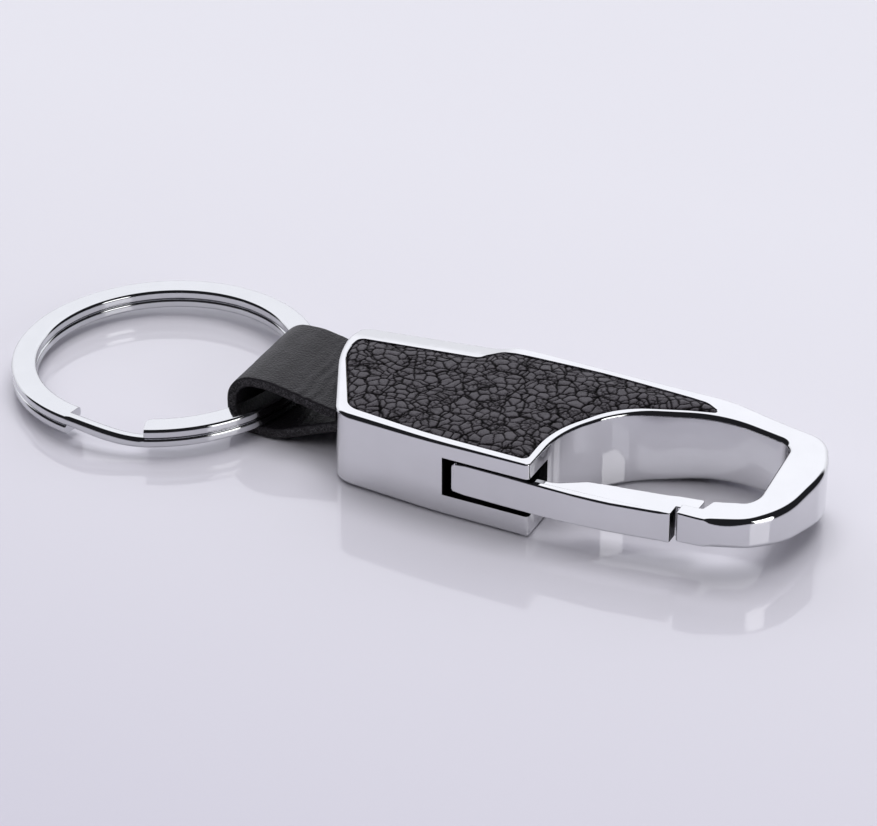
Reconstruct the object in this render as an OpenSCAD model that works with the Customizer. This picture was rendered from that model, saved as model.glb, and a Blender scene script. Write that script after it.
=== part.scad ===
// Key ring with a flat split ring, a leather strap and a spring-gate clip.
// X runs from the ring to the clip, Y across, Z up. Millimetres.

/* [Split ring] */
// Outside diameter of the split ring
ring_od = 32; // [30:0.5:34]
// Width of the flat wire, measured along the radius
wire_w = 2.6; // [2.2:0.1:2.8]
// Thickness of the flat wire, one turn
wire_t = 1.03; // [0.9:0.01:1.1]
// Angle of the crossover between the two turns
crossover_angle = 32; // [26:1:40]
// Tilt of the ring, higher at the strap
ring_tilt = 1.2; // [1:0.1:1.4]

/* [Strap] */
// Width of the leather strap
strap_w = 12.2; // [11:0.1:12.2]
// Thickness of the leather
strap_t = 1.1; // [0.9:0.05:1.1]

/* [Casting] */
// Height of the casting between its flat faces
casting_h = 8.15; // [8:0.05:8.4]
// Depth of the recess for each leather inlay
recess_depth = 0.8; // [0.6:0.05:0.9]
// Height that an inlay stands proud of the casting
inlay_proud = 0.25; // [0.1:0.05:0.3]
// Thickness of the adhesive film under each inlay
film_t = 0.1; // [0.05:0.05:0.15]

/* [Gate] */
// Height of the gate bar
gate_h = 3.3; // [3:0.1:3.4]
// Height of the slot that the gate turns in
slot_h = 4.25; // [4.2:0.05:4.4]
// Radius of the gate pin
gate_pin_r = 0.6; // [0.55:0.01:0.62]
// Distance from the gate's pin to the end of the gate
gate_end = 1.9; // [1.8:0.05:1.95]

/* [Fasteners and spring] */
// Radius of the strap rivets
rivet_r = 0.8; // [0.7:0.05:0.9]
// Distance between the two strap rivets
rivet_gap = 6.4; // [5:0.1:7]
// Radius of the spring wire
spring_wire_r = 0.15; // [0.12:0.01:0.16]
// Number of turns in the gate spring
spring_turns = 3; // [2:1:3]

/* [Hidden] */
$fn = 64;

// Clearance between parts that turn on each other, and between leather and metal
fit_gap = 0.05;
// Play round the strap in the casting's mouth
mouth_gap = 0.1;
// Overlap that lets a cut run cleanly past a face
past = 1;
// Largest step along an arc of an outline, in degrees
arc_step = 9;

// Heights of the casting's faces and recess floors
casting_z = inlay_proud;
casting_top = casting_z + casting_h;
floor_z = casting_z + recess_depth;
roof_z = casting_top - recess_depth;

// Ring: its centre, and half of the gap between its two turns
ring_x = -28.1;
ring_z = 2.12;
turn_gap = 0.01;
crossover_w = 1.35;
crossover_h = 1.35;
crossover_inset = 0.04;
crossover_start = -100;
crossover_lap = 1.5;

// Gate: hinge axis and middle height
hinge_x = 12.2;
hinge_y = -9.65;
gate_z = 4.6;

// Gate spring: mean coil radius, pitch, leg length and number of sides of its wire
coil_r = 0.85;
coil_pitch = 0.36;
leg_l = 4.6;
wire_sides = 8;
steps_per_turn = 14;
spring_room = 1.6;
leg_gap = 0.4;

// Strap rivets: distance along X
rivet_x = 0.8;

// ---- Outlines: [x, y, corner radius] ----

// Metal outline, round the outside and back along the inside of the clip's window
casting_outline = [
  [-2.7, -10.5, 3.0], [8, -11.3, 60], [18.7, -11.4, 0.4],
  [18.75, -4.6, 12], [22.9, 2.0, 10], [31.8, 5.7, 12], [39.6, 4.5, 1.6],
  [39.75, -5.7, 2.6], [36.1, -7.3, 0.5], [35.6, -8.75, 0.2], [33.6, -8.95, 0.2],
  [33.6, -10.5, 0.3], [42.3, -10.2, 8.5], [44.35, 2, 10], [42.4, 6.8, 3],
  [32.5, 8.4, 4], [30.6, 8.5, 3], [22, 8.6, 90], [9, 9.0, 30], [-8.3, 6.7, 1.4], [-8.4, 1.4, 16]
];

// Leather inlay, with a step where the rim along the spine narrows
inlay_outline = [
  [-1.9, -9.15, 2.2], [7, -10.2, 50], [18.0, -10.45, 0.6],
  [17.9, -4.8, 11], [22.1, 2.4, 9], [28.4, 5.1, 14], [31.4, 6.1, 0.3],
  [29.6, 7.1, 2], [18, 7.8, 60], [10, 7.6, 20], [7.0, 7.4, 1],
  [5.6, 5.1, 1], [-7.05, 3.4, 0.8], [-7.2, 0.6, 6]
];

// Gate, seen from above: hinge end, front face, lapped tip, inner face and the thin neck in the slot
gate_outline = [
  [hinge_x - gate_end, hinge_y, 0], [hinge_x - gate_end, -11.3, 0.35],
  [20, -11.5, 90], [27, -11.25, 60], [32.9, -10.25, 0.2],
  [32.9, -8.8, 0.1], [35.0, -8.6, 0.2], [35.05, -6.55, 0.3],
  [23.6, -8.25, 1.5], [20.8, -9.9, 2.5], [14.6, -9.9, 1.5], [13.3, -8.0, 1.1],
  [hinge_x - gate_end, -8.0, 1.6]
];

// Ends of the strap inside the casting: how deep they go, and the heights of the two layers
root_x = 3.4;
root_low = 3.72;
root_high = 4.90;

// Folded strap: line through the middle of the leather, [x, z, corner radius]
strap_line = [
  [root_x, root_high, 0], [-5.2, root_high, 8], [-12.6, 6.35, 7], [-16.9, 6.15, 2.4],
  [-16.9, 0.70, 0.9], [-12.0, 0.72, 6], [-4.6, root_low, 8], [root_x, root_low, 0]
];

// ---- Helpers ----

function unit(v) = v / norm(v);
function flat(lists) = [for (l = lists) for (p = l) p];
function turn(a) = a > 180 ? a - 360 : a < -180 ? a + 360 : a;

// The points that round corner b, which stands between a and c, with radius r
function corner(a, b, c, r) =
  r <= 0 ? [[b.x, b.y]] :
  let (
    u = unit([a.x - b.x, a.y - b.y]),
    v = unit([c.x - b.x, c.y - b.y]),
    half = acos(u * v) / 2,
    centre = [b.x, b.y] + unit(u + v) * r / sin(half),
    start = [b.x, b.y] + u * r / tan(half) - centre,
    end = [b.x, b.y] + v * r / tan(half) - centre,
    from = atan2(start.y, start.x),
    sweep = turn(atan2(end.y, end.x) - from),
    n = max(1, ceil(abs(sweep) / arc_step))
  ) [for (i = [0:n]) centre + r * [cos(from + sweep * i / n), sin(from + sweep * i / n)]];

function rounded(pts) = flat([
  for (i = [0:len(pts) - 1])
    corner(pts[(i + len(pts) - 1) % len(pts)], pts[i], pts[(i + 1) % len(pts)], pts[i].z)
]);

function rounded_open(pts) = flat([
  [[pts[0].x, pts[0].y]],
  for (i = [1:len(pts) - 2]) corner(pts[i - 1], pts[i], pts[i + 1], pts[i].z),
  [[pts[len(pts) - 1].x, pts[len(pts) - 1].y]]
]);

// Direction across an open line at its point i
function across(line, i) =
  let (d = unit(line[min(i + 1, len(line) - 1)] - line[max(i - 1, 0)])) [-d.y, d.x];

// Outline of a strip of thickness t that follows an open line
function strip(line, t) = concat(
  [for (i = [0:len(line) - 1]) line[i] + across(line, i) * t / 2],
  [for (i = [len(line) - 1:-1:0]) line[i] - across(line, i) * t / 2]
);

// A round wire along a path that stays nearly level
module wire(path, r, sides) {
  last = len(path) - 1;
  rings = [
    for (i = [0:last])
      let (
        t = unit(path[min(i + 1, last)] - path[max(i - 1, 0)]),
        side = unit(cross(t, [0, 0, 1])),
        up = cross(side, t)
      )
      for (k = [0:sides - 1])
        path[i] + r * (cos(k * 360 / sides) * side + sin(k * 360 / sides) * up)
  ];
  walls = [
    for (i = [0:last - 1]) for (k = [0:sides - 1])
      [i * sides + k, (i + 1) * sides + k, (i + 1) * sides + (k + 1) % sides, i * sides + (k + 1) % sides]
  ];
  polyhedron(
    rings,
    concat(walls, [[for (k = [0:sides - 1]) k]], [[for (k = [sides - 1:-1:0]) last * sides + k]]),
    convexity = 6
  );
}

// ---- Split ring ----

module turn_of_wire(z) {
  translate([0, 0, z])
    rotate_extrude(angle = 360 - crossover_angle, start = crossover_start + crossover_angle, $fn = 96)
      translate([ring_od / 2 - wire_w, 0])
        square([wire_w, wire_t]);
}

// The narrower length of wire that steps down from the upper turn to the lower one
module crossover() {
  middle = crossover_start + crossover_angle / 2;
  run = 2 * (ring_od / 2) * sin(crossover_angle / 2);
  slope = atan((wire_t + turn_gap) / run);
  swept = crossover_angle + 2 * crossover_lap;
  rotate([0, 0, middle])
    rotate([slope, 0, 0])
      rotate_extrude(angle = swept, start = -swept / 2, $fn = 96)
        translate([ring_od / 2 - crossover_w - crossover_inset, -crossover_h / 2])
          square([crossover_w, crossover_h]);
}

module split_ring() {
  color("silver")
    translate([ring_x, 0, ring_z])
      rotate([0, -ring_tilt, 0]) {
        turn_of_wire(turn_gap);
        turn_of_wire(-turn_gap - wire_t);
        crossover();
      }
}

// ---- Strap and its rivets ----

module rivet_places() {
  for (side = [-1, 1]) translate([rivet_x, side * rivet_gap / 2, 0]) children();
}

module strap() {
  color("dimgray")
    difference() {
      translate([0, strap_w / 2, 0])
        rotate([90, 0, 0])
          linear_extrude(strap_w)
            polygon(strip(rounded_open(strap_line), strap_t));
      rivet_places() cylinder(r = rivet_r + fit_gap, h = casting_top);
    }
}

module strap_rivets() {
  color("gainsboro")
    rivet_places()
      translate([0, 0, floor_z]) cylinder(r = rivet_r, h = roof_z - floor_z);
}

// The mouth in the casting's rear face, which flares to the outside
module strap_mouth() {
  root = root_x + mouth_gap;
  low = root_low - strap_t / 2 - mouth_gap;
  high = root_high + strap_t / 2 + mouth_gap;
  translate([0, strap_w / 2 + mouth_gap, 0])
    rotate([90, 0, 0])
      linear_extrude(strap_w + 2 * mouth_gap)
        polygon([[root, low], [-3.2, low], [-10, 0.5], [-10, 6.75], [-4.2, high], [root, high]]);
}

// ---- Casting ----

// The hook thins towards the nose: its upper and lower faces are two sloping planes
module hook_slopes() {
  hook_x = 28;
  top_slope_x = 0.0377;
  top_slope_y = 0.0817;
  low_slope_x = 0.029;
  low_slope_y = 0.165;
  spine = [30, 8.5];
  block = [40, 60, 8];
  translate([spine.x, spine.y, casting_top])
    intersection() {
      rotate([atan(top_slope_y), atan(top_slope_x), 0])
        translate([-block.x / 2, -block.y / 2, 0]) cube(block);
      translate([hook_x - spine.x, -block.y / 2, -block.z]) cube([block.x, block.y, 3 * block.z]);
    }
  translate([spine.x, spine.y, casting_z])
    intersection() {
      rotate([-atan(low_slope_y), -atan(low_slope_x), 0])
        translate([-block.x / 2, -block.y / 2, -block.z]) cube(block);
      translate([hook_x - spine.x, -block.y / 2, -2 * block.z]) cube([block.x, block.y, 3 * block.z]);
    }
}

// The wide rim along the spine falls away a little to the outside
module spine_bevel() {
  rim_start = [-9, 3.6];
  rim_direction = 9;
  fall = 12;
  block = [18, 8, 3];
  translate([rim_start.x, rim_start.y, casting_top])
    rotate([0, 0, rim_direction])
      rotate([-fall, 0, 0])
        cube(block);
}

module gate_slot() {
  translate([0, 0, gate_z - slot_h / 2])
    linear_extrude(slot_h)
      polygon([[9.4, -13], [21, -13], [21, -6.6], [18, -7.3], [13, -7.6], [9.4, -7.6]]);
}

module casting() {
  color("silver")
    difference() {
      translate([0, 0, casting_z]) linear_extrude(casting_h) polygon(rounded(casting_outline));
      translate([0, 0, roof_z]) linear_extrude(recess_depth + past) polygon(rounded(inlay_outline));
      translate([0, 0, casting_z - past]) linear_extrude(recess_depth + past) polygon(rounded(inlay_outline));
      spine_bevel();
      translate([0, 0, 2 * casting_z + casting_h]) mirror([0, 0, 1]) spine_bevel();
      hook_slopes();
      strap_mouth();
      gate_slot();
      rivet_places() cylinder(r = rivet_r, h = casting_top);
      translate([hinge_x, hinge_y, 0]) cylinder(r = gate_pin_r, h = casting_top);
    }
}

// ---- Gate, its pin and its spring ----

module gate() {
  color("lightgray")
    difference() {
      translate([0, 0, gate_z - gate_h / 2]) linear_extrude(gate_h) polygon(rounded(gate_outline));
      translate([hinge_x, hinge_y, 0]) cylinder(r = gate_pin_r + fit_gap, h = casting_top);
      spring_pocket();
    }
}

// Room for the spring, open to the inside, where one leg reaches out to the casting
module spring_pocket() {
  r = coil_r + spring_wire_r + fit_gap;
  end = leg_l + leg_gap;
  back = gate_end + past;
  translate([hinge_x, hinge_y, gate_z - spring_room / 2])
    linear_extrude(spring_room)
      polygon([[-r, -r / 2], [-r / 2, -r], [end, -r], [end, back], [-r, back]]);
}

module gate_pin() {
  color("gainsboro")
    translate([hinge_x, hinge_y, floor_z]) cylinder(r = gate_pin_r, h = roof_z - floor_z);
}

module gate_spring() {
  turned = 360 * spring_turns + 168;
  n = ceil(steps_per_turn * turned / 360);
  low = gate_z - coil_pitch * turned / 720;
  coil = [
    for (i = [0:n])
      let (a = -90 - turned * i / n)
        [coil_r * cos(a), coil_r * sin(a), low + coil_pitch * turned * i / n / 360]
  ];
  away = -90 - turned;
  path = concat(
    [[leg_l, -coil_r, low]],
    coil,
    [coil[n] + leg_l * [sin(away), -cos(away), 0]]
  );
  color("slategray")
    translate([hinge_x, hinge_y, 0]) wire(path, spring_wire_r, wire_sides);
}

// ---- Leather inlays and their adhesive ----

inlay_t = recess_depth + inlay_proud - film_t;

module top_inlay() {
  color("#3a383c")
    translate([0, 0, roof_z + film_t]) linear_extrude(inlay_t) polygon(rounded(inlay_outline));
}

module bottom_inlay() {
  color("#3a383c") linear_extrude(inlay_t) polygon(rounded(inlay_outline));
}

module top_film() {
  color("beige")
    translate([0, 0, roof_z]) linear_extrude(film_t) polygon(rounded(inlay_outline));
}

module bottom_film() {
  color("beige")
    translate([0, 0, inlay_t]) linear_extrude(film_t) polygon(rounded(inlay_outline));
}

split_ring();
strap();
strap_rivets();
casting();
gate();
gate_pin();
gate_spring();
top_inlay();
bottom_inlay();
top_film();
bottom_film();
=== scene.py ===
import math
import random

import bmesh
import bpy
import numpy as np
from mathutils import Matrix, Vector, kdtree, noise
from mathutils.geometry import delaunay_2d_cdt


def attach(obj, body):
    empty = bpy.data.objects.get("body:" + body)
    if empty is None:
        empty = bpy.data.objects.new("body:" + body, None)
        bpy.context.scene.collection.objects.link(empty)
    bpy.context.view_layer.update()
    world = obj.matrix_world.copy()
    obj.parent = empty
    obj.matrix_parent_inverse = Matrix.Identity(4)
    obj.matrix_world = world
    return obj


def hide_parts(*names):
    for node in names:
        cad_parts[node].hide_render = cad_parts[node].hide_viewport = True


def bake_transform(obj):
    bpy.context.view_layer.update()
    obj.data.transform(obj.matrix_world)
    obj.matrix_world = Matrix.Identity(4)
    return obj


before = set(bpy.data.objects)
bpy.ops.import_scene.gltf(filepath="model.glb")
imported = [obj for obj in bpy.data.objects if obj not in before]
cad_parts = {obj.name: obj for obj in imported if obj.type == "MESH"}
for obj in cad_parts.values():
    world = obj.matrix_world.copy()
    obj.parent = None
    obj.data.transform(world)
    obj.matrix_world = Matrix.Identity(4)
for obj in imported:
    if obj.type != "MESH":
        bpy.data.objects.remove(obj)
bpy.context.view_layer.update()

MM = 0.001

# ---------------------------------------------------------------- camera

# A short tele lens, above the front right of the object and looking down on it.
camera_data = bpy.data.cameras.new("camera")
camera_data.lens = 139.57
camera_data.sensor_width = 36
camera_data.clip_start = 0.01
camera_data.clip_end = 20
camera = bpy.data.objects.new("camera", camera_data)
camera.location = (0.13193, -0.26325, 0.18011)
camera.rotation_euler = (math.radians(59), 0, math.radians(26))
bpy.context.scene.collection.objects.link(camera)
bpy.context.scene.camera = camera

# ---------------------------------------------------------------- outlines, in millimetres
# Seen from above. Each corner is x, y and the radius that rounds it; the slot's corners are sharp.

HINGE_X, HINGE_Y = 12.2, -9.65
GATE_REAR = HINGE_X - 1.9
TIP_X, NOSE_X = 32.9, 33.6  # the two sides of the gap between gate and nose
LOW, HIGH = 0.25, 8.40  # the casting's lower and upper face
TOTAL = LOW + HIGH
GATE_MIDDLE, GATE_HALF, SLOT_HALF = 4.6, 1.65, 2.125  # heights: the gate stands in the middle of its slot
FLOOR = 0.8  # depth of the recesses for the leather
BEVEL_STEPS = 5  # rows of faces in a rounded edge

CASTING = [
    (-2.7, -10.5, 3.0), (8, -11.3, 60), (18.7, -11.4, 0.4),
    (18.75, -4.6, 12), (22.9, 2.0, 10), (31.8, 5.7, 12), (39.6, 4.5, 1.6),
    (39.75, -5.7, 2.6), (36.1, -7.3, 0.5), (35.6, -8.75, 0.2), (NOSE_X, -8.95, 0.2),
    (NOSE_X, -10.5, 0.3), (42.3, -10.2, 8.5), (44.35, 2, 10), (42.4, 6.8, 3),
    (32.5, 8.4, 4), (30.6, 8.5, 3), (22, 8.6, 90), (9, 9.0, 30), (-8.3, 6.7, 1.4), (-8.4, 1.4, 16),
]
INLAY = [
    (-1.9, -9.15, 2.2), (7, -10.2, 50), (18.0, -10.45, 0.6),
    (17.9, -4.8, 11), (22.1, 2.4, 9), (28.4, 5.1, 14), (31.4, 6.1, 0.3),
    (29.6, 7.1, 2), (18, 7.8, 60), (10, 7.6, 20), (7.0, 7.4, 1),
    (5.6, 5.1, 1), (-7.05, 3.4, 0.8), (-7.2, 0.6, 6),
]
GATE = [
    (GATE_REAR, HINGE_Y, 0), (GATE_REAR, -11.3, 0.35),
    (20, -11.5, 90), (27, -11.25, 60), (TIP_X, -10.25, 0.2),
    (TIP_X, -8.8, 0.1), (35.0, -8.6, 0.2), (35.05, -6.55, 0.3),
    (23.6, -8.25, 1.5), (20.8, -9.9, 2.5), (14.6, -9.9, 1.5), (13.3, -8.0, 1.1),
    (GATE_REAR, -8.0, 1.6),
]
SLOT = [(9.4, -13), (21, -13), (21, -6.6), (18, -7.3), (13, -7.6), (9.4, -7.6)]

# Seen from the front, so x and height: the middle of the folded strap, and the mouth it comes out of.
ROOT_LOW, ROOT_HIGH = 3.72, 4.90
STRAP = [
    (3.4, ROOT_HIGH, 0), (-5.2, ROOT_HIGH, 8), (-12.6, 6.30, 5), (-16.85, 6.15, 2.6),
    (-16.85, 0.72, 1.3), (-12.0, 0.72, 6), (-4.6, ROOT_LOW, 8), (3.4, ROOT_LOW, 0),
]
STRAP_WIDTH, STRAP_THICKNESS = 12.2, 1.1
MOUTH_X = 3.5
MOUTH_LOW, MOUTH_HIGH = ROOT_LOW - 0.65, ROOT_HIGH + 0.65
MOUTH = [
    (MOUTH_X, MOUTH_LOW), (-3.2, MOUTH_LOW), (-10, 0.5),
    (-10, 6.75), (-4.2, MOUTH_HIGH), (MOUTH_X, MOUTH_HIGH),
]
MOUTH_HALF = 6.2


def round_corner(a, b, c, r, step):
    """The points that round corner b, which stands between a and c."""
    if r <= 0:
        return [np.array(b[:2], float)]
    a, b, c = (np.array(p[:2], float) for p in (a, b, c))
    u = (a - b) / np.linalg.norm(a - b)
    v = (c - b) / np.linalg.norm(c - b)
    half = math.acos(max(-1, min(1, float(u @ v)))) / 2
    middle = (u + v) / np.linalg.norm(u + v)
    centre = b + middle * r / math.sin(half)
    start = b + u * r / math.tan(half) - centre
    end = b + v * r / math.tan(half) - centre
    a0 = math.atan2(start[1], start[0])
    sweep = math.atan2(end[1], end[0]) - a0
    sweep = (sweep + math.pi) % (2 * math.pi) - math.pi
    n = max(2, math.ceil(abs(math.degrees(sweep)) / step))
    angles = [a0 + sweep * i / n for i in range(n + 1)]
    return [centre + r * np.array([math.cos(a), math.sin(a)]) for a in angles]


def rounded(points, step=4.0, closed=True):
    """The outline with its corners rounded, in arcs of step degrees."""
    n = len(points)
    out = []
    for i, p in enumerate(points):
        if not closed and i in (0, n - 1):
            out.append(np.array(p[:2], float))
        else:
            out += round_corner(points[i - 1], p, points[(i + 1) % n], p[2], step)
    return np.array(out)


def densified(line, longest, closed=True):
    """The line with extra points so that no step is longer than longest."""
    out = []
    last = len(line) if closed else len(line) - 1
    for i in range(last):
        a, b = line[i], line[(i + 1) % len(line)]
        n = max(1, math.ceil(np.linalg.norm(b - a) / longest))
        out += [a + (b - a) * k / n for k in range(n)]
    if not closed:
        out.append(line[-1])
    return np.array(out)


def edge_normals(line):
    """Outward normal of each edge of a closed outline, whichever way it runs."""
    d = np.roll(line, -1, 0) - line
    n = np.stack([d[:, 1], -d[:, 0]], 1)
    n /= np.maximum(np.linalg.norm(n, axis=1, keepdims=True), 1e-12)
    area = np.sum(line[:, 0] * np.roll(line[:, 1], -1) - np.roll(line[:, 0], -1) * line[:, 1])
    return n if area > 0 else -n


def point_normals(line):
    """Outward normal at each point, and how far a mitred offset moves along it."""
    e = edge_normals(line)
    n = e + np.roll(e, 1, 0)
    n /= np.linalg.norm(n, axis=1, keepdims=True)
    return n, 1 / np.maximum(np.sum(n * e, 1), 0.35)


def inset(line, d):
    """The closed outline moved inward by d, a number or one for each point."""
    n, m = point_normals(line)
    return line - n * (m * d)[:, None]


def inside(points, line):
    """True for each point that lies inside the closed outline."""
    points = np.atleast_2d(points)
    x, y = points[:, 0], points[:, 1]
    found = np.zeros(len(points), bool)
    a, b = line, np.roll(line, -1, 0)
    for (x0, y0), (x1, y1) in zip(a, b):
        if y0 == y1:
            continue
        hit = ((y0 > y) != (y1 > y)) & (x < (x1 - x0) * (y - y0) / (y1 - y0) + x0)
        found ^= hit
    return found


def nearest_on(line, points):
    """Distance from each point to a closed outline, and the edge and share along it where it is nearest."""
    a, b = line, np.roll(line, -1, 0)
    d = b - a
    length2 = np.maximum(np.sum(d * d, 1), 1e-12)
    best = np.full(len(points), 1e9)
    edge = np.zeros(len(points), int)
    share = np.zeros(len(points))
    for i in range(len(line)):
        t = np.clip(((points - a[i]) @ d[i]) / length2[i], 0, 1)
        gap = np.linalg.norm(points - (a[i] + t[:, None] * d[i]), axis=1)
        closer = gap < best
        best[closer], edge[closer], share[closer] = gap[closer], i, t[closer]
    return best, edge, share


def smoothstep(a, b, x):
    """0 up to a and 1 from b on, with a soft slope between them."""
    t = np.clip((np.asarray(x, float) - a) / (b - a), 0, 1)
    return t * t * (3 - 2 * t)


# ---------------------------------------------------------------- material helpers


class Nodes:
    """A material and its node tree, with short calls that add and join nodes."""

    def __init__(self, name):
        self.material = bpy.data.materials.new(name)
        self.material.use_nodes = True
        self.tree = self.material.node_tree
        self.shader = self.tree.nodes["Principled BSDF"]

    def add(self, kind, **values):
        node = self.tree.nodes.new(kind)
        for key, value in values.items():
            if key in node.inputs:
                node.inputs[key].default_value = value
            else:
                setattr(node, key, value)
        return node

    def join(self, out, into):
        self.tree.links.new(out, into)

    def place(self, scale=(1, 1, 1)):
        """Object coordinates in millimetres, stretched by scale."""
        coordinates = self.add("ShaderNodeTexCoord")
        mapping = self.add("ShaderNodeMapping")
        mapping.inputs["Scale"].default_value = [1000 * s for s in scale]
        self.join(coordinates.outputs["Object"], mapping.inputs["Vector"])
        return mapping.outputs["Vector"]

    def noise(self, vector, scale, detail=2.0, roughness=0.5):
        node = self.add("ShaderNodeTexNoise", Scale=scale, Detail=detail, Roughness=roughness)
        self.join(vector, node.inputs["Vector"])
        return node.outputs["Fac"]

    def span(self, value, low, high, to_low, to_high):
        """The value, with low to high mapped to to_low to to_high."""
        node = self.add("ShaderNodeMapRange")
        self.join(value, node.inputs["Value"])
        for key, number in zip(("From Min", "From Max", "To Min", "To Max"), (low, high, to_low, to_high)):
            node.inputs[key].default_value = number
        return node.outputs["Result"]

    def math(self, kind, a, b):
        node = self.add("ShaderNodeMath", operation=kind)
        for socket, value in zip(node.inputs, (a, b)):
            if isinstance(value, (int, float)):
                socket.default_value = value
            else:
                self.join(value, socket)
        return node.outputs[0]

    def ramp(self, value, stops):
        node = self.add("ShaderNodeValToRGB")
        elements = node.color_ramp.elements
        while len(elements) < len(stops):
            elements.new(0.5)
        for element, (position, color) in zip(elements, stops):
            element.position = position
            element.color = (*color, 1)
        self.join(value, node.inputs["Fac"])
        return node.outputs["Color"]

    def bump(self, height, strength, distance, before=None):
        node = self.add("ShaderNodeBump", Strength=strength, Distance=distance)
        self.join(height, node.inputs["Height"])
        if before is not None:
            self.join(before, node.inputs["Normal"])
        return node.outputs["Normal"]


def chrome(name, tint=(0.74, 0.74, 0.755), rough=0.035, wave=0.012):
    """Polished plating: fine hairlines, a trace of orange peel, and roughness that varies a little."""
    m = Nodes(name)
    m.shader.inputs["Metallic"].default_value = 1.0
    flat = m.place()
    hair = m.place((0.35, 9.0, 2.0))  # hairlines run along x
    patches = m.noise(flat, 0.35, 3.0)
    m.join(m.ramp(patches, [(0.3, [c * 0.97 for c in tint]), (0.7, tint)]), m.shader.inputs["Base Color"])
    marks = m.noise(hair, 1.0, 4.0, 0.7)
    worn = m.span(patches, 0.3, 0.7, rough * 0.8, rough * 1.3)
    m.join(m.math("ADD", worn, m.span(marks, 0.62, 0.8, 0.0, 0.05)), m.shader.inputs["Roughness"])
    peel = m.noise(flat, 0.45, 2.0)
    m.join(m.bump(marks, 0.02, 0.00001, m.bump(peel, wave, 0.0004)), m.shader.inputs["Normal"])
    return m.material


def steel(name, tint, rough, grain):
    """Drawn or turned steel with lines along grain."""
    m = Nodes(name)
    m.shader.inputs["Metallic"].default_value = 1.0
    lines = m.noise(m.place(grain), 1.5, 5.0, 0.65)
    m.join(m.ramp(lines, [(0.3, [c * 0.8 for c in tint]), (0.7, tint)]), m.shader.inputs["Base Color"])
    m.join(m.span(lines, 0.3, 0.7, rough * 0.75, rough * 1.3), m.shader.inputs["Roughness"])
    m.join(m.bump(lines, 0.15, 0.00002), m.shader.inputs["Normal"])
    return m.material


def pebbled_leather(name):
    """Grained leather: pebbles between creases whose colour is darkened as painted shade, besides their
    real depth, with pores and a satin finish.
    """
    m = Nodes(name)
    # the crease value carries the crease depth and also the painted shade of the rolled edge
    crease = m.add("ShaderNodeAttribute", attribute_name="crease").outputs["Fac"]
    flat = m.place()
    pores = m.noise(flat, 7.0, 5.0, 0.65)
    blotch = m.noise(flat, 0.9, 3.0)
    speck = m.noise(flat, 3.0, 3.0)
    depth = m.math("ADD", crease, m.span(pores, 0.35, 0.65, 0.24, -0.16))
    depth = m.math("ADD", depth, m.span(blotch, 0.3, 0.7, 0.10, -0.08))
    # the colour falls to near black as the crease value rises: painted shade in the creases and on the
    # rolled edge
    color = m.ramp(depth, [
        (0.0, (0.085, 0.078, 0.090)),
        (0.25, (0.046, 0.041, 0.049)),
        (0.50, (0.012, 0.010, 0.012)),
        (1.0, (0.002, 0.002, 0.002)),
    ])
    m.join(color, m.shader.inputs["Base Color"])
    rough = m.math("ADD", m.span(crease, 0.0, 1.0, 0.44, 0.75), m.span(speck, 0.3, 0.7, -0.05, 0.06))
    m.join(rough, m.shader.inputs["Roughness"])
    m.join(m.span(crease, 0.0, 0.8, 0.22, 0.02), m.shader.inputs["Specular IOR Level"])
    m.join(m.bump(pores, 0.5, 0.00005, m.bump(speck, 0.25, 0.00012)), m.shader.inputs["Normal"])
    return m.material


def smooth_leather(name):
    """Strap leather with a fine grain, and a raw fibrous core on its cut edges."""
    m = Nodes(name)
    core = m.add("ShaderNodeAttribute", attribute_name="core").outputs["Fac"]
    flat = m.place()
    grain = m.add("ShaderNodeTexVoronoi", Scale=4.2, feature="F1")
    m.join(flat, grain.inputs["Vector"])
    cells = grain.outputs["Distance"]
    fine = m.noise(flat, 9.0, 4.0, 0.7)
    blotch = m.noise(flat, 0.45, 4.0)
    face = m.ramp(
        m.math("ADD", m.span(blotch, 0.3, 0.7, 0.3, 0.6), m.span(cells, 0.1, 0.7, 0.25, -0.30)),
        [(0.0, (0.005, 0.004, 0.0055)), (0.5, (0.0145, 0.0125, 0.0165)), (1.0, (0.030, 0.026, 0.034))],
    )
    fibres = m.ramp(
        m.noise(flat, 6.0, 6.0, 0.8),
        [(0.36, (0.004, 0.0035, 0.004)), (0.50, (0.035, 0.033, 0.036)), (0.66, (0.16, 0.155, 0.165))],
    )
    mix = m.add("ShaderNodeMix", data_type="RGBA")
    m.join(core, mix.inputs["Factor"])
    m.join(face, mix.inputs["A"])
    m.join(fibres, mix.inputs["B"])
    m.join(mix.outputs["Result"], m.shader.inputs["Base Color"])
    rough = m.math("ADD", m.span(core, 0.0, 1.0, 0.42, 0.85), m.span(fine, 0.3, 0.7, -0.05, 0.07))
    m.join(rough, m.shader.inputs["Roughness"])
    m.shader.inputs["Specular IOR Level"].default_value = 0.4
    m.join(m.bump(fine, 0.6, 0.00005, m.bump(cells, 0.7, 0.00008)), m.shader.inputs["Normal"])
    return m.material


def film_material(name):
    """Yellowish dried adhesive."""
    m = Nodes(name)
    flat = m.place()
    color = m.ramp(m.noise(flat, 1.2, 3.0), [(0.3, (0.62, 0.57, 0.42)), (0.7, (0.74, 0.69, 0.54))])
    m.join(color, m.shader.inputs["Base Color"])
    m.join(m.span(m.noise(flat, 3.0, 2.0), 0.3, 0.7, 0.5, 0.7), m.shader.inputs["Roughness"])
    return m.material


CHROME = chrome("chrome")
RING_CHROME = chrome("ring_chrome", (0.67, 0.675, 0.69), 0.075, 0.008)
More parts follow.
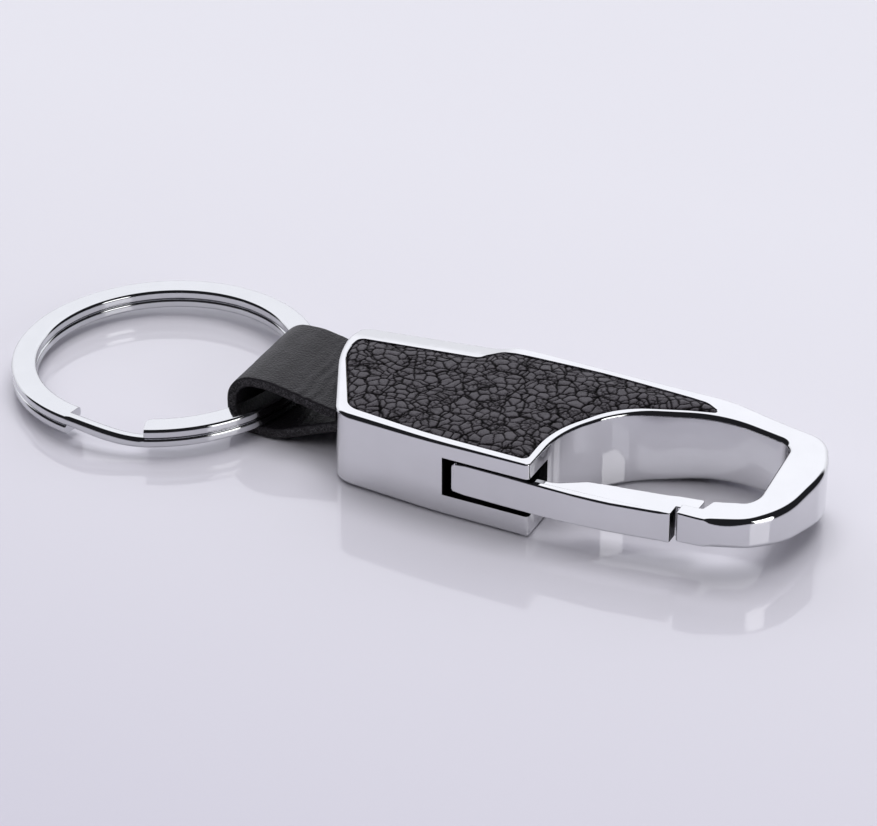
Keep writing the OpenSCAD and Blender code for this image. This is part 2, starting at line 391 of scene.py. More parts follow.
# near-black metal for cut faces and the faces of the gap: painted shade in these hollows
INSIDE = steel("painted_shade_metal", (0.035, 0.035, 0.038), 0.45, (1, 1, 1))
PEBBLED = pebbled_leather("inlay_leather")
SMOOTH = smooth_leather("strap_leather")
PIN = steel("pin_steel", (0.55, 0.55, 0.57), 0.25, (4, 4, 0.4))
SPRING = steel("spring_steel", (0.42, 0.42, 0.44), 0.3, (1, 1, 6))
FILM = film_material("adhesive")

# ---------------------------------------------------------------- mesh helpers


def make_object(name, verts, faces, material):
    """A smooth-shaded mesh object from points in millimetres."""
    mesh = bpy.data.meshes.new(name)
    mesh.from_pydata([tuple(c * MM for c in v) for v in verts], [], [tuple(f) for f in faces])
    mesh.validate()
    mesh.update()
    obj = bpy.data.objects.new(name, mesh)
    bpy.context.scene.collection.objects.link(obj)
    mesh.materials.append(material)
    mesh.polygons.foreach_set("use_smooth", [True] * len(mesh.polygons))
    return obj


def facing_out(obj, merge=None):
    """Turns the faces outward; points closer than merge metres are joined first."""
    bm = bmesh.new()
    bm.from_mesh(obj.data)
    if merge is not None:
        bmesh.ops.remove_doubles(bm, verts=bm.verts, dist=merge)
    bmesh.ops.recalc_face_normals(bm, faces=bm.faces)
    bm.to_mesh(obj.data)
    bm.free()


def wall_faces(a, b, count):
    """The quads between two closed rings of count points that start at a and at b."""
    return [(a + i, a + (i + 1) % count, b + (i + 1) % count, b + i) for i in range(count)]


def cutter(name, near, far):
    """A closed solid between two equal outlines, used to cut with. The cut faces take its near-black
    material, a painted shade inside the slot, the mouth and the holes.
    """
    n = len(near)
    faces = wall_faces(0, n, n) + [tuple(reversed(range(n))), tuple(range(n, 2 * n))]
    obj = make_object(name, near + far, faces, INSIDE)
    facing_out(obj, 1e-8)
    return obj


def upright_cutter(name, outline, z0, z1):
    """A cutter with a level floor and ceiling."""
    return cutter(name, [(*p, z0) for p in outline], [(*p, z1) for p in outline])


def cut(obj, cutters):
    """obj with the cutters taken out of it; the cutters are removed."""
    for solid in cutters:
        m = obj.modifiers.new("cut", "BOOLEAN")
        m.operation = "DIFFERENCE"
        m.solver = "EXACT"
        m.material_mode = "TRANSFER"
        m.object = solid
    bake(obj)
    for solid in cutters:
        bpy.data.objects.remove(solid)


def bake(obj):
    """Applies the modifiers."""
    bpy.context.view_layer.update()
    graph = bpy.context.evaluated_depsgraph_get()
    mesh = bpy.data.meshes.new_from_object(obj.evaluated_get(graph))
    old = obj.data
    obj.modifiers.clear()
    obj.data = mesh
    bpy.data.meshes.remove(old)


def cap_mesh(loops, extra, lines=()):
    """Triangles in the first loop, but not in the others, through the extra points and lines."""
    points, edges = [], []
    for loop in loops:
        base = len(points)
        points += [tuple(p) for p in loop]
        edges += [(base + i, base + (i + 1) % len(loop)) for i in range(len(loop))]
    for line in lines:
        base = len(points)
        points += [tuple(p) for p in line]
        edges += [(base + i, base + i + 1) for i in range(len(line) - 1)]
    points += [tuple(p) for p in extra]
    found = delaunay_2d_cdt([Vector(p) for p in points], edges, [], 1, 1e-7)
    verts = np.array([tuple(v) for v in found[0]], float)
    faces = [tuple(f) for f in found[2]]
    middle = np.array([verts[list(f)].mean(0) for f in faces])
    keep = inside(middle, loops[0])
    for hole in loops[1:]:
        keep &= ~inside(middle, hole)
    return verts, [f for f, k in zip(faces, keep) if k]


def grid_points(loop, hole, spacing, margin, where):
    """Grid points between the loop and its hole, clear of both by margin, where where(points) is true."""
    low, high = loop.min(0), loop.max(0)
    xs = np.arange(low[0] + spacing / 2, high[0], spacing)
    ys = np.arange(low[1] + spacing / 2, high[1], spacing)
    grid = np.array([(x, y) for x in xs for y in ys])
    grid = grid[inside(grid, loop) & where(grid)]
    for line in (loop, hole):
        gap, _, _ = nearest_on(line, grid)
        grid = grid[gap > margin]
    return grid[~inside(grid, hole)]


# ---------------------------------------------------------------- casting

SPINE_START = np.array([-9.0, 3.6])
SPINE_ANGLE = math.radians(9)
SPINE_ALONG = np.array([math.cos(SPINE_ANGLE), math.sin(SPINE_ANGLE)])
SPINE_ACROSS = np.array([-math.sin(SPINE_ANGLE), math.cos(SPINE_ANGLE)])
SPINE_FALL = math.tan(math.radians(12))
HOOK_CORNER = np.array([30, 8.5])  # from here the hook's faces lean
TOP_LEAN = (0.0377, -0.0817)  # how steeply, along x and y
BOTTOM_LEAN = (0.029, -0.165)
LIP = 0.07  # width and depth of the small edge round each recess


def spine_drop(p):
    """How far the faces fall off toward the spine, at the rear of the casting."""
    d = (p - SPINE_START) @ SPINE_ACROSS
    return np.maximum(0, d) * SPINE_FALL * (1 - smoothstep(6.0, 8.6, p[:, 0]))


def top_of(p):
    """Height of the casting's upper face."""
    p = np.atleast_2d(p)
    drop = (p - HOOK_CORNER) @ TOP_LEAN
    return HIGH - smoothstep(19, 33, p[:, 0]) * np.maximum(0, drop) - spine_drop(p)


def bottom_of(p):
    """Height of the casting's lower face."""
    p = np.atleast_2d(p)
    rise = (p - HOOK_CORNER) @ BOTTOM_LEAN
    return LOW + smoothstep(24, 33, p[:, 0]) * np.maximum(0, rise) + spine_drop(p)


def slope_normal(height, p, up):
    """Unit normals of a face given by a height function."""
    p = np.atleast_2d(p)
    e = 0.02
    dx = (height(p + [e, 0]) - height(p - [e, 0])) / (2 * e)
    dy = (height(p + [0, e]) - height(p - [0, e])) / (2 * e)
    n = np.stack([-dx, -dy, np.ones(len(p))], 1)
    n /= np.linalg.norm(n, axis=1, keepdims=True)
    return n if up else -n


EDGE_PLAIN, EDGE_BODY, EDGE_SPINE, EDGE_HOOK, EDGE_TIGHT = 0.30, 0.50, 0.55, 0.64, 0.15


def bevel_sizes(line):
    """How far the rounding of the casting's edge reaches in at each point of its outline."""
    x, y = line[:, 0], line[:, 1]
    front = (y < -9) & (x < 19.5)
    rear = (x < -2) & ~front
    spine = (y > 6) & (x < 31)
    window = (x > 24) & (x < 40) & (y > -6.2) & (y < 6.5)
    hook = (x > 34) & ((x > 40.5) | (y < -9) | (y > 6.2))
    nose = (x > NOSE_X - 0.2) & (x < 36.4) & (y < -6.5)
    front_corner = (x > 18.3) & (x < 19.3) & (y < -10.2)
    tight = nose | front_corner
    size = np.full(len(line), EDGE_PLAIN)
    size = np.where(front, EDGE_BODY - 0.26 * smoothstep(-3, 17, x), size)
    size = np.where(rear, EDGE_BODY, size)
    size = np.where(spine, EDGE_SPINE - 0.25 * smoothstep(2, 9, x), size)
    size = np.where(window, EDGE_BODY, size)
    size = np.where(hook, EDGE_HOOK, size)
    size = np.where(tight, EDGE_TIGHT, size)
    # each stretch runs softly into the next
    for _ in range(6):
        size = (np.roll(size, 1) + 2 * size + np.roll(size, -1)) / 4
    return np.minimum(size, np.where(tight, EDGE_TIGHT + 0.01, 1.0))


def on_slopes(p):
    """True where the casting's faces aren't level: on the hook and at the rear of the spine."""
    return (p[:, 0] > 17) | ((p[:, 0] < 9) & (p[:, 1] > 4))


def loft_casting():
    """The casting's skin before it is cut, with its outline and the size of its rounded edge."""
    line = densified(rounded(CASTING, 3.5), 1.2)
    sizes = bevel_sizes(line)
    pocket = densified(rounded(INLAY, 5), 1.5)
    verts, faces = [], []

    def ring(points, z):
        base = len(verts)
        verts.extend((p[0], p[1], h) for p, h in zip(points, z))
        return base

    def cap(points, tris, z):
        base = ring(points, z)
        faces.extend(tuple(base + i for i in f) for f in tris)

    def shell(height, sign, floor_z):
        """Rounded edge, face and recess of the upper side (sign 1) or the lower side (sign -1)."""
        rings = []
        for k in range(BEVEL_STEPS + 1):
            a = math.pi / 2 * k / BEVEL_STEPS
            moved = inset(line, sizes * (1 - math.cos(a)))
            z = height(moved) - sign * sizes * (1 - math.sin(a))
            rings.append(ring(moved, z))
        for a, b in zip(rings, rings[1:]):
            faces.extend(wall_faces(a, b, len(line)))
        edge = inset(line, sizes)
        lip = inset(pocket, -LIP)
        crest = SPINE_START + np.outer(np.linspace(2.0, 15.4, 12), SPINE_ALONG)
        crest = crest[inside(crest, inset(line, sizes + 0.1))]
        extra = grid_points(edge, lip, 0.8, 0.25, on_slopes)
        points, tris = cap_mesh([edge, lip], extra, [crest])
        cap(points, tris, height(points))
        outer_lip = ring(lip, height(lip))
        inner_lip = ring(pocket, height(pocket) - sign * LIP)
        foot = ring(pocket, np.full(len(pocket), floor_z))
        faces.extend(wall_faces(outer_lip, inner_lip, len(pocket)))
        faces.extend(wall_faces(inner_lip, foot, len(pocket)))
        points, tris = cap_mesh([pocket], [])
        cap(points, tris, np.full(len(points), floor_z))
        return rings[0]

    upper = shell(top_of, 1, HIGH - FLOOR)
    lower = shell(bottom_of, -1, LOW + FLOOR)
    faces.extend(wall_faces(upper, lower, len(line)))
    obj = make_object("casting_metal", verts, faces, CHROME)
    facing_out(obj, 2e-7)
    return obj, line, sizes


def set_normals(obj, line, sizes, top, bottom, lean=None):
    """Gives each corner the smooth normal that its surface really has, so that it mirrors cleanly."""
    mesh = obj.data
    co = np.empty(len(mesh.vertices) * 3)
    mesh.vertices.foreach_get("co", co)
    co = co.reshape(-1, 3) / MM
    flat, height = co[:, :2], co[:, 2]
    gap, edge, share = nearest_on(line, flat)
    after = (edge + 1) % len(line)

    def between(values):
        """Numbers that belong to the outline's points, taken at the nearest place on the outline."""
        return values[edge] * (1 - share) + values[after] * share

    # outward normals of the wall, which turn smoothly except at sharp corners of the outline
    point_n, _ = point_normals(line)
    edge_n = edge_normals(line)[edge]
    ends = []
    for n in (point_n[edge], point_n[after]):
        gentle = np.sum(n * edge_n, 1) > 0.93
        ends.append(np.where(gentle[:, None], n, edge_n))
    side = ends[0] * (1 - share[:, None]) + ends[1] * share[:, None]
    side /= np.linalg.norm(side, axis=1, keepdims=True)
    reach = between(sizes)
    rise = np.zeros(len(side)) if lean is None else between(lean)
    wall_n = np.concatenate([side, rise[:, None]], 1)
    wall_n /= np.linalg.norm(wall_n, axis=1, keepdims=True)
    if lean is not None:
        gap = np.maximum(0, gap - rise * np.clip(height - bottom(flat), 0, None))

    # normals of the upper and lower face, and of the rounded edge between face and wall
    z_top, z_low = top(flat), bottom(flat)
    near_top = height > (z_top + z_low) / 2
    cap_n = np.where(near_top[:, None], slope_normal(top, flat, True), slope_normal(bottom, flat, False))
    c = np.clip(1 - gap / np.maximum(reach, 1e-6), 0, 1)
    s = np.sqrt(np.maximum(0, 1 - c * c))
    rolled = wall_n * c[:, None] + cap_n * s[:, None]
    rolled /= np.maximum(np.linalg.norm(rolled, axis=1, keepdims=True), 1e-9)
    depth = np.where(near_top, z_top - height, height - z_low)
    on_wall = (gap < 0.02) & (depth > reach * 0.98)
    smooth = np.where(on_wall[:, None], wall_n, rolled)

    cos_limit = math.cos(math.radians(32))
    normals = []
    for poly in mesh.polygons:
        f = np.array(poly.normal)
        for v in poly.vertices:
            n = smooth[v]
            if f @ n < cos_limit:
                n = wall_n[v] if f @ wall_n[v] > cos_limit and gap[v] < 0.02 else f
            normals.append(tuple(n))
    mesh.normals_split_custom_set(normals)


def darken(obj, wall_x, side):
    """Gives the near-black metal, which is the second material and stands for painted shade, to the face of
    the gap that looks to one side.
    """
    for poly in obj.data.polygons:
        x, y, _ = poly.center / MM
        if abs(x - wall_x) < 0.2 and y < -8.9 and poly.normal.x * side > 0.8:
            poly.material_index = 1


def build_casting():
    """Body and hook in one piece, with the gate's slot and the strap's mouth."""
    obj, line, sizes = loft_casting()
    slot = upright_cutter("slot", SLOT, GATE_MIDDLE - SLOT_HALF, GATE_MIDDLE + SLOT_HALF)
    mouth = cutter("mouth", [(x, -MOUTH_HALF, z) for x, z in MOUTH], [(x, MOUTH_HALF, z) for x, z in MOUTH])
    cut(obj, [slot, mouth])
    # painted shade: the nose's face of the gap takes the near-black metal
    darken(obj, NOSE_X, -1)
    set_normals(obj, line, sizes, top_of, bottom_of)
    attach(obj, "casting")
    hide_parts("casting")


# ---------------------------------------------------------------- gate


PIN_HOLE = 0.65
COIL_ROOM = 1.05  # from the pin's axis to the sides of the spring's pocket
COIL_CORNER = 0.52  # where the pocket's corner is cut off


def level(z):
    """The height function of a level face."""
    return lambda p: np.full(len(np.atleast_2d(p)), z)


def build_gate():
    """The gate's bar with its lapped tip, the hole for its pin and the pocket for its spring."""
    line = densified(rounded(GATE, 4), 1.2)
    low, high = GATE_MIDDLE - GATE_HALF, GATE_MIDDLE + GATE_HALF
    sizes = 0.24 + 0.22 * (1 - smoothstep(GATE_REAR, 11.4, line[:, 0]))
    sizes = np.where(line[:, 0] > TIP_X - 0.5, 0.10, sizes)
    # the front face leans back a little toward the hinge
    facing = np.clip(-point_normals(line)[0][:, 1] - 0.5, 0, 0.5) * 2
    draft = 0.30 * facing * (1 - smoothstep(16, 27, line[:, 0]))
    verts, rings = [], []
    for sign, z, back in ((-1, low, 0), (1, high, draft)):
        for k in range(BEVEL_STEPS + 1)[::sign]:
            a = math.pi / 2 * k / BEVEL_STEPS
            moved = inset(line, sizes * (1 - math.cos(a)) + back)
            heights = z - sign * sizes * (1 - math.sin(a))
            rings.append(len(verts))
            verts.extend((p[0], p[1], h) for p, h in zip(moved, heights))
    faces = [tuple(range(a, a + len(line))) for a in (rings[0], rings[-1])]
    for a, b in zip(rings, rings[1:]):
        faces.extend(wall_faces(a, b, len(line)))
    obj = make_object("gate_bar", verts, faces, CHROME)
    facing_out(obj, 1e-8)

    angles = np.linspace(0, 2 * math.pi, 32, endpoint=False)
    hole = [(HINGE_X + PIN_HOLE * math.cos(a), HINGE_Y + PIN_HOLE * math.sin(a)) for a in angles]
    r = COIL_ROOM
    room = [(-r, -COIL_CORNER), (-COIL_CORNER, -r), (5, -r), (5, 2.9), (-r, 2.9)]
    room = [(HINGE_X + x, HINGE_Y + y) for x, y in room]
    cut(obj, [upright_cutter("pin_hole", hole, 0, 9), upright_cutter("spring_room", room, 3.8, 5.4)])
    # painted shade: the face of the gate's tip at the gap takes the near-black metal
    darken(obj, TIP_X, 1)
    set_normals(obj, line, sizes, level(high), level(low), draft / 2.8)
    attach(obj, "gate")
    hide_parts("gate")


# ---------------------------------------------------------------- split ring

RING_X, RING_Z, RING_TILT = -28.1, 2.12, math.radians(1.2)
RING_R, WIRE_WIDTH, WIRE_HEIGHT = 16.0, 2.6, 1.03
TURN_Z = 0.01 + WIRE_HEIGHT / 2  # each turn's middle lies this far from the middle of the ring
WIRE_EDGE = 0.33
# Compass angles along the wire, in degrees: its lower end, the crossover, and its upper end.
LOWER_END, STEP_FROM, STEP_TO = 260.0, -68.0, -100.0
UPPER_END = STEP_TO - 325.0
CORNER_TURN = 3.0  # the rounded corner at the upper end takes this many degrees
STEP_WIDTH, STEP_HEIGHT, STEP_IN = 1.34, 1.16, 0.03


def wire_section(width, height, edge, steps=4):
    """Points of a rectangle with rounded corners: across and up from its middle, and the outward normal."""
    out = []
    w, h = width / 2 - edge, height / 2 - edge
    for cx, cy, a0 in ((w, h, 0), (-w, h, 90), (-w, -h, 180), (w, -h, 270)):
        for k in range(steps + 1):
            a = math.radians(a0 + 90 * k / steps)
            out.append((cx + edge * math.cos(a), cy + edge * math.sin(a), math.cos(a), math.sin(a)))
    return out


def wire_stations():
    """Along the wire: angle, z, width, height, rounding, and how far its outer edge is from the middle."""
    step_r = RING_R - STEP_IN
    flat_wire = (WIRE_WIDTH, WIRE_HEIGHT, WIRE_EDGE, RING_R)
    out = [(a, -TURN_Z, *flat_wire) for a in np.linspace(LOWER_END, STEP_FROM, 150)]
    out.append((STEP_FROM - 0.25, -TURN_Z + 0.02, STEP_WIDTH, STEP_HEIGHT, 0.42, step_r))
    for t in np.linspace(0.06, 0.94, 26):
        angle = STEP_FROM + (STEP_TO - STEP_FROM) * t
        z = -TURN_Z + 2 * TURN_Z * t * t * (3 - 2 * t)
        out.append((angle, z, STEP_WIDTH, STEP_HEIGHT + 0.18 * math.sin(math.pi * t), 0.50, step_r))
    out.append((STEP_TO + 0.25, TURN_Z - 0.02, STEP_WIDTH, 1.10, 0.40, step_r))
    out += [(a, TURN_Z, *flat_wire) for a in np.linspace(STEP_TO, UPPER_END, 150)]
    corner = math.radians(CORNER_TURN) * (RING_R - WIRE_WIDTH)
    for t in np.linspace(0.1, 0.8, 6) * math.pi / 2:
        width = WIRE_WIDTH - corner * (1 - math.cos(t))
        out.append((UPPER_END - CORNER_TURN * math.sin(t), TURN_Z, width, WIRE_HEIGHT, WIRE_EDGE, RING_R))
    return out


def tilted(x, y, z):
    """The vector, leaned as the ring lies on the table."""
    c, s = math.cos(RING_TILT), math.sin(RING_TILT)
    return np.array([x * c - z * s, y, x * s + z * c])


def build_ring():
    """One wire in two turns: the lower turn, the narrow crossover, then the upper turn."""
    middle = np.array([RING_X, 0, RING_Z])
    stations = wire_stations()
    verts, faces, normals = [], [], []
    for angle, z, width, height, edge, outer in stations:
        c, s = math.cos(math.radians(angle)), math.sin(math.radians(angle))
        section = wire_section(width, height, edge)
        for u, v, nu, nv in section:
            r = outer - width / 2 + u
            verts.append(tilted(r * c, r * s, z + v) + middle)
            normals.append(tilted(nu * c, nu * s, nv))
    count = len(section)
    last = (len(stations) - 1) * count
    for base in range(0, last, count):
        faces.extend(wall_faces(base, base + count, count))

    for base, angle, sign in ((0, LOWER_END, 1), (last, stations[-1][0], -1)):
        # a lightly rounded cut end
        rim = verts[base:base + count]
        centre = np.mean(rim, 0)
        a = math.radians(angle)
        along = sign * tilted(-math.sin(a), math.cos(a), 0)
        first = len(verts)
        for v in rim:
            d = v - centre
            verts.append(centre + d * (1 - 0.10 / max(0.3, np.linalg.norm(d))) + along * 0.08)
            normals.append(along)
        faces.extend(wall_faces(base, first, count))
        faces.append(tuple(range(first, first + count)))

    obj = make_object("ring_wire", verts, faces, RING_CHROME)
    facing_out(obj)
    limit = math.cos(math.radians(40))
    corners = []
    for poly in obj.data.polygons:
        f = np.array(poly.normal)
        corners += [tuple(normals[v]) if f @ normals[v] > limit else tuple(f) for v in poly.vertices]
    obj.data.normals_split_custom_set(corners)
    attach(obj, "ring")
    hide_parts("split_ring")


# ---------------------------------------------------------------- strap

STRAP_EDGE = 0.16


def strap_profile():
    """Section of the strap, as points y, offset through the leather, and share of raw core."""
    half, thin, r = STRAP_WIDTH / 2, STRAP_THICKNESS / 2, STRAP_EDGE
    across = np.linspace(-half + r, half - r, 46)
    cut_edge = np.linspace(thin - r - 0.06, -thin + r + 0.06, 7)
    corner = [(math.cos(math.radians(a)), math.sin(math.radians(a))) for a in (0, 22.5, 45, 67.5)]
    out = []
    for way in (1, -1):  # the outer face and one cut edge, then the inner face and the other cut edge
        out += [(way * y, way * thin, 0.0) for y in across]
        for c, s in reversed(corner):
            out.append((way * (half - r + r * c), way * (thin - r + r * s), 0.0 if s > 0.5 else 0.15))
        out += [(way * half, way * v, 1.0) for v in cut_edge]
        for c, s in corner:
            out.append((way * (half - r + r * c), way * (-thin + r - r * s), 0.15 if s < 0.5 else 0.0))
    return out


def build_strap():
    """The folded strip, with soft wrinkles where it leaves the metal and uneven cut edges."""
    line = densified(rounded(STRAP, 6, closed=False), 0.22, closed=False)
    forward = np.gradient(line, axis=0)
    forward /= np.linalg.norm(forward, axis=1, keepdims=True)
    through = np.stack([-forward[:, 1], forward[:, 0]], 1)
    steps = np.linalg.norm(np.diff(line, axis=0), axis=1)
    along = np.concatenate([[0], np.cumsum(steps)])
    profile = strap_profile()
    verts, core = [], []
    for p, n, length in zip(line, through, along):
        for y, v, raw in profile:
            x, z = p + n * v
            near = math.exp(-((x + 8.6) / 1.6) ** 2)
            fold = 0.05 * near * math.sin(x * 5.2 + 3.6 * noise.noise((x * 0.4, y * 0.35, 3.0)))
            soft = 0.03 * noise.noise((x * 0.45, y * 0.45, z * 0.45 + 7))
            soft += 0.012 * noise.noise((x * 2.1, y * 2.1, z * 2.1))
            fade = float(smoothstep(-5.5, -8.0, x))
            push = (fold + soft) * fade * (1 - raw) * (1 if v > 0 else -1)
            ragged = raw * 0.035 * noise.noise((length * 2.4, v * 3.1, 1.0)) * (1 if y > 0 else -1)
            verts.append((x + n[0] * push, y + ragged, z + n[1] * push))
            core.append(raw)
    count = len(profile)
    last = (len(line) - 1) * count
    faces = [tuple(range(count)), tuple(range(last, last + count))]
    for base in range(0, last, count):
        faces.extend(wall_faces(base, base + count, count))
    obj = make_object("strap_leather", verts, faces, SMOOTH)
    obj.data.attributes.new("core", "FLOAT", "POINT").data.foreach_set("value", core)
    facing_out(obj)
    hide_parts("strap")
    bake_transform(obj)


# ---------------------------------------------------------------- leather inlays


def seeds(low, high, spacing, jitter, seed):
    """Scattered points, one for each cell of the leather's grain, in rows that are shaken up."""
    rng = random.Random(seed)
    reach = jitter * spacing
    out = []
    row = 0
    y = low[1] - 2 * spacing
    while y < high[1] + 2 * spacing:
        x = low[0] - 2 * spacing + (row % 2) * spacing / 2
        while x < high[0] + 2 * spacing:
            out.append((x + rng.uniform(-reach, reach), y + rng.uniform(-reach, reach)))
            x += spacing
        y += spacing * 0.87
        row += 1
    return out


def border_distance(points, sites):
    """Distance from each point to the border between the two sites that are nearest to it."""
    tree = kdtree.KDTree(len(sites))
    for i, (x, y) in enumerate(sites):
        tree.insert((x, y, 0), i)
    tree.balance()
    out = np.empty(len(points))
    for i, (x, y) in enumerate(points):
        (a, _, d0), (b, _, d1) = tree.find_n((x, y, 0), 2)
        out[i] = (d1 * d1 - d0 * d0) / (2 * max(1e-6, (Vector(a) - Vector(b)).length))
    return out


def noise_at(points, scale, layer, shift=0.0):
    """Smooth noise at each point; layers differ from each other."""
    return np.array([noise.noise((x * scale + shift, y * scale, layer)) for x, y in points])


def pebbles(points):
    """At each point, how deep the crease is, from 0 to 1, and how high the pebble's dome is."""
    warp = np.stack([
        noise_at(points, 0.5, 1.5) * 0.45 + noise_at(points, 1.7, 4.5) * 0.16,
        noise_at(points, 0.5, 9.5) * 0.45 + noise_at(points, 1.7, 14.5) * 0.16,
    ], 1)
    p = (points + warp) * [1.0, 0.92]
    low, high = p.min(0), p.max(0)
    width = 0.5 + 0.5 * noise_at(points, 0.5, 22.0)
    patch = noise_at(points, 0.42, 31.0, 5)
    main = border_distance(p, seeds(low, high, 1.12, 0.34, 5))
    wide = border_distance(p * [0.86, 1.1] + [0.4, 0.2], seeds(low, high * 1.2, 2.9, 0.45, 11))
    small = border_distance(p + [0.3, 0.6], seeds(low, high + 1, 0.55, 0.45, 23))
    main_crease = np.exp(-(main / (0.05 + 0.04 * width)) ** 2) * (0.72 + 0.28 * width)
    wide_crease = np.exp(-(wide / 0.07) ** 2) * 0.9
    small_crease = np.exp(-(small / 0.05) ** 2) * smoothstep(0.0, 0.3, patch) * 0.6
    crease = 1 - (1 - main_crease) * (1 - wide_crease) * (1 - small_crease)
    return np.clip(crease, 0, 1), smoothstep(0.0, 0.42, main)


GRID = 0.115  # size of the leather's mesh cells
INLAY_ROLL = 0.30
INLAY_CROWN = 0.25
CREASE_DEPTH, DOME_HEIGHT = 0.115, 0.035


def inlay_cells(line):
    """A square grid cut to the outline: its points, and its cells as fours of point numbers."""
    low, high = line.min(0), line.max(0)
    nx, ny = (int(size / GRID) + 2 for size in high - low)
    xs = low[0] - GRID / 2 + np.arange(nx + 1) * GRID
    ys = low[1] - GRID / 2 + np.arange(ny + 1) * GRID
    centres = np.array([(x + GRID / 2, y + GRID / 2) for x in xs[:-1] for y in ys[:-1]])
    keep = inside(centres, line).reshape(nx, ny)
    # drop cells that hang on by a corner or stick out alone
    for _ in range(3):
        padded = np.pad(keep, 1).astype(int)
        neighbours = padded[:-2, 1:-1] + padded[2:, 1:-1] + padded[1:-1, :-2] + padded[1:-1, 2:]
        keep &= neighbours >= 2
    column = ny + 1
    corners = (0, column, column + 1, 1)
    quads = [tuple(i * column + j + c for c in corners) for i, j in np.argwhere(keep)]
    used = sorted({v for q in quads for v in q})
    number = {v: i for i, v in enumerate(used)}
    grid = np.array([(x, y) for x in xs for y in ys])
    return grid[used], [tuple(number[v] for v in q) for q in quads]


def border_loop(quads):
    """The points round the outside of the cells, in order."""
    sides = {}
    for q in quads:
        for side in zip(q, q[1:] + q[:1]):
            sides[side] = True
    following = {a: b for a, b in sides if (b, a) not in sides}
    loop = [next(iter(following))]
    while following[loop[-1]] != loop[0]:
        loop.append(following[loop[-1]])
    return loop


def build_inlay(name, node, upper):
    """Leather with real pebbles and rolled edges, set in the upper or the lower recess."""
    line = inset(densified(rounded(INLAY, 4), 0.15), 0.05)
    flat, faces = inlay_cells(line)
    loop = border_loop(faces)
    _, edge, share = nearest_on(line, flat[loop])
    flat[loop] = line[edge] * (1 - share[:, None]) + line[(edge + 1) % len(line)] * share[:, None]
    gap, _, _ = nearest_on(line, flat)
    # the lower leather shows another part of the same grain
    crease, dome = pebbles(flat if upper else flat * [1, -1] + [3, 40])
    roll = INLAY_ROLL - np.sqrt(np.maximum(0, INLAY_ROLL ** 2 - (INLAY_ROLL - gap) ** 2))
    edge_fall = np.where(gap < INLAY_ROLL, roll, 0)
    crown = INLAY_CROWN * smoothstep(0.0, 2.2, gap)
    z = HIGH - 0.055 + crown + DOME_HEIGHT * dome - CREASE_DEPTH * crease - edge_fall
    foot = HIGH - FLOOR + 0.1
    if not upper:
        z, foot = TOTAL - z, TOTAL - foot
    verts = [(x, y, h) for (x, y), h in zip(flat, z)]
    shade = [float(c) for c in crease]
    previous = loop
    for down in (0.5, 1.0):
        ring = list(range(len(verts), len(verts) + len(loop)))
        verts += [(*flat[v], z[v] * (1 - down) + foot * down) for v in loop]
        # the rolled edge down into the recess gets a painted shade nearly as dark as a crease
        shade += [0.85] * len(loop)
        for i in range(len(loop)):
            faces.append((previous[i], previous[i - 1], ring[i - 1], ring[i]))
        previous = ring
    faces.append(tuple(previous))
    obj = make_object(name, verts, faces, PEBBLED)
    obj.data.attributes.new("crease", "FLOAT", "POINT").data.foreach_set("value", shade)
    facing_out(obj)
    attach(obj, "casting")
    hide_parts(node)


build_casting()
build_gate()
build_ring()
build_strap()
build_inlay("top_leather", "top_inlay", True)
build_inlay("bottom_leather", "bottom_inlay", False)

HIDDEN = {
    "gate_pin": PIN, "strap_rivets": PIN, "gate_spring": SPRING,
    "top_film": FILM, "bottom_film": FILM,
}
for node, material in HIDDEN.items():
    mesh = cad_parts[node].data
    mesh.materials.clear()
    mesh.materials.append(material)

# ---------------------------------------------------------------- floor, light and backdrop


def floor_material():
    """Glossy pale board, slightly darker and more lilac toward the camera, a painted fall-off of the light
    that comes from behind.
    """
    m = Nodes("table")
    flat = m.place()
    axes = m.add("ShaderNodeSeparateXYZ")
    m.join(flat, axes.inputs["Vector"])
    cloud = m.noise(flat, 0.004, 2.0)
    # painted shade: the board darkens toward the camera, plus a random cloud of tone
    painted_falloff_and_tone = m.math("ADD", m.span(axes.outputs["Y"], -75, 60, 0.0, 1.0), m.span(cloud, 0.3, 0.7, -0.05, 0.05))
    color = m.ramp(painted_falloff_and_tone, [
        (0.0, (0.665, 0.645, 0.74)),
        (0.55, (0.79, 0.775, 0.845)),
        (1.0, (0.83, 0.82, 0.885)),
    ])
    m.join(color, m.shader.inputs["Base Color"])
    m.join(m.span(m.noise(flat, 0.02, 2.0), 0.3, 0.7, 0.05, 0.08), m.shader.inputs["Roughness"])
    m.shader.inputs["Specular IOR Level"].default_value = 0.5
    return m.material


bm = bmesh.new()
bmesh.ops.create_grid(bm, x_segments=24, y_segments=24, size=4.0)
floor_mesh = bpy.data.meshes.new("table")
bm.to_mesh(floor_mesh)
bm.free()
floor_mesh.materials.append(floor_material())
table = bpy.data.objects.new("table", floor_mesh)
bpy.context.scene.collection.objects.link(table)


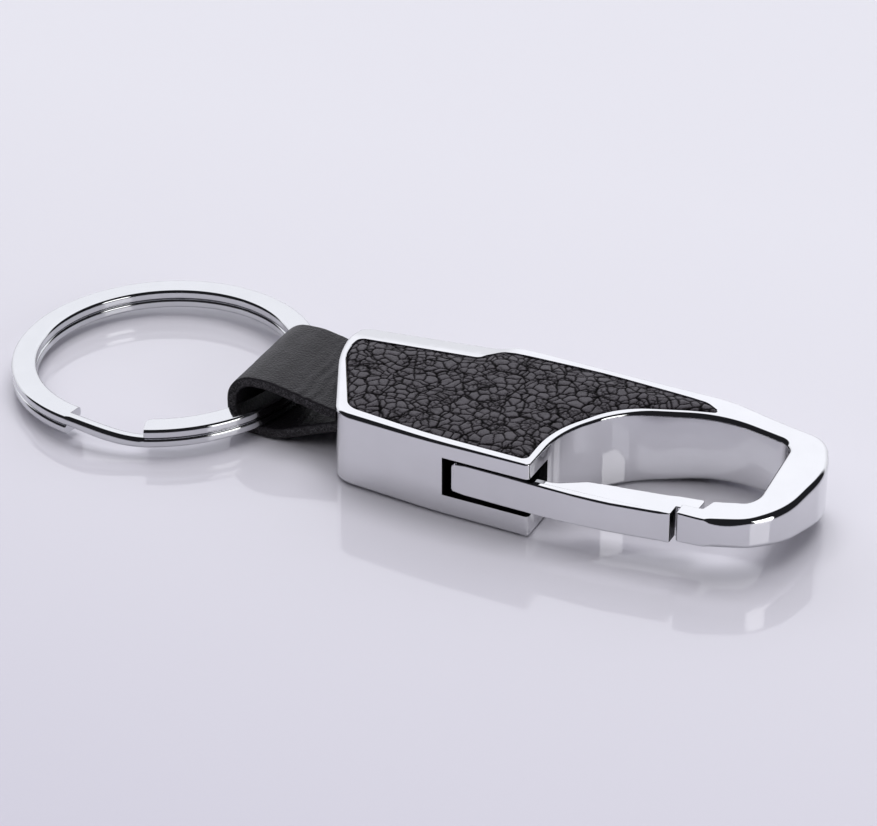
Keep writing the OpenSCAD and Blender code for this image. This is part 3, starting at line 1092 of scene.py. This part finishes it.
def softbox(name, direction, elevation, distance, width, height, power, color=(1, 1, 1)):
    """An area light that faces the object. direction is its compass angle from +X, in degrees."""
    a, e = math.radians(direction), math.radians(elevation)
    light = bpy.data.lights.new(name, "AREA")
    light.shape = "RECTANGLE"
    light.size, light.size_y = width, height
    light.energy = power
    light.color = color
    obj = bpy.data.objects.new(name, light)
    spot = Vector((math.cos(a) * math.cos(e), math.sin(a) * math.cos(e), math.sin(e))) * distance
    obj.location = spot
    obj.rotation_euler = (-spot).to_track_quat("-Z", "Y").to_euler()
    obj.visible_camera = False
    bpy.context.scene.collection.objects.link(obj)
    return obj


COOL_WHITE = (0.985, 0.98, 1.0)
softbox("side_box", -18, 18, 1.2, 0.50, 0.70, 3.0)
overhead = softbox("overhead_box", 90, 76, 1.3, 1.1, 0.8, 9.0, COOL_WHITE)
fill = softbox("fill_box", -100, 58, 1.3, 1.2, 0.8, 3.6, COOL_WHITE)
overhead.visible_glossy = fill.visible_glossy = False  # only the side box shows in the plating

world = bpy.data.worlds.new("studio")
world.use_nodes = True
bpy.context.scene.world = world
tree = world.node_tree


def world_node(kind, *values, **settings):
    """A node of the backdrop; values are numbers or outputs of other nodes."""
    node = tree.nodes.new(kind)
    for key, value in settings.items():
        setattr(node, key, value)
    for socket, value in zip(node.inputs, values):
        if isinstance(value, bpy.types.NodeSocket):
            tree.links.new(value, socket)
        else:
            socket.default_value = value
    return node


# bright behind the object and dark on the camera's side, so that the plating has dark edges
direction = tree.nodes.new("ShaderNodeTexCoord").outputs["Generated"]
far_side = (-0.5, 0.85, 0)
behind = world_node("ShaderNodeVectorMath", direction, far_side, operation="DOT_PRODUCT").outputs["Value"]
share = world_node("ShaderNodeMapRange", behind, 0.40, 0.52, 0.0, 1.0, interpolation_type="SMOOTHSTEP")
up = world_node("ShaderNodeSeparateXYZ", direction).outputs["Z"]
climb = world_node("ShaderNodeMapRange", up, 0.0, 0.55, 0.70, 1.0)
factors = share.outputs["Result"], climb.outputs["Result"]
brightness = world_node("ShaderNodeMath", *factors, operation="MULTIPLY").outputs["Value"]
ramp = world_node("ShaderNodeValToRGB", brightness)
dark, bright = ramp.color_ramp.elements
dark.color = (0.012, 0.012, 0.014, 1)
bright.color = (0.92, 0.93, 0.98, 1)
background = tree.nodes["Background"]
background.inputs["Strength"].default_value = 1.36
tree.links.new(ramp.outputs["Color"], background.inputs["Color"])

bpy.context.scene.view_settings.view_transform = "Standard"
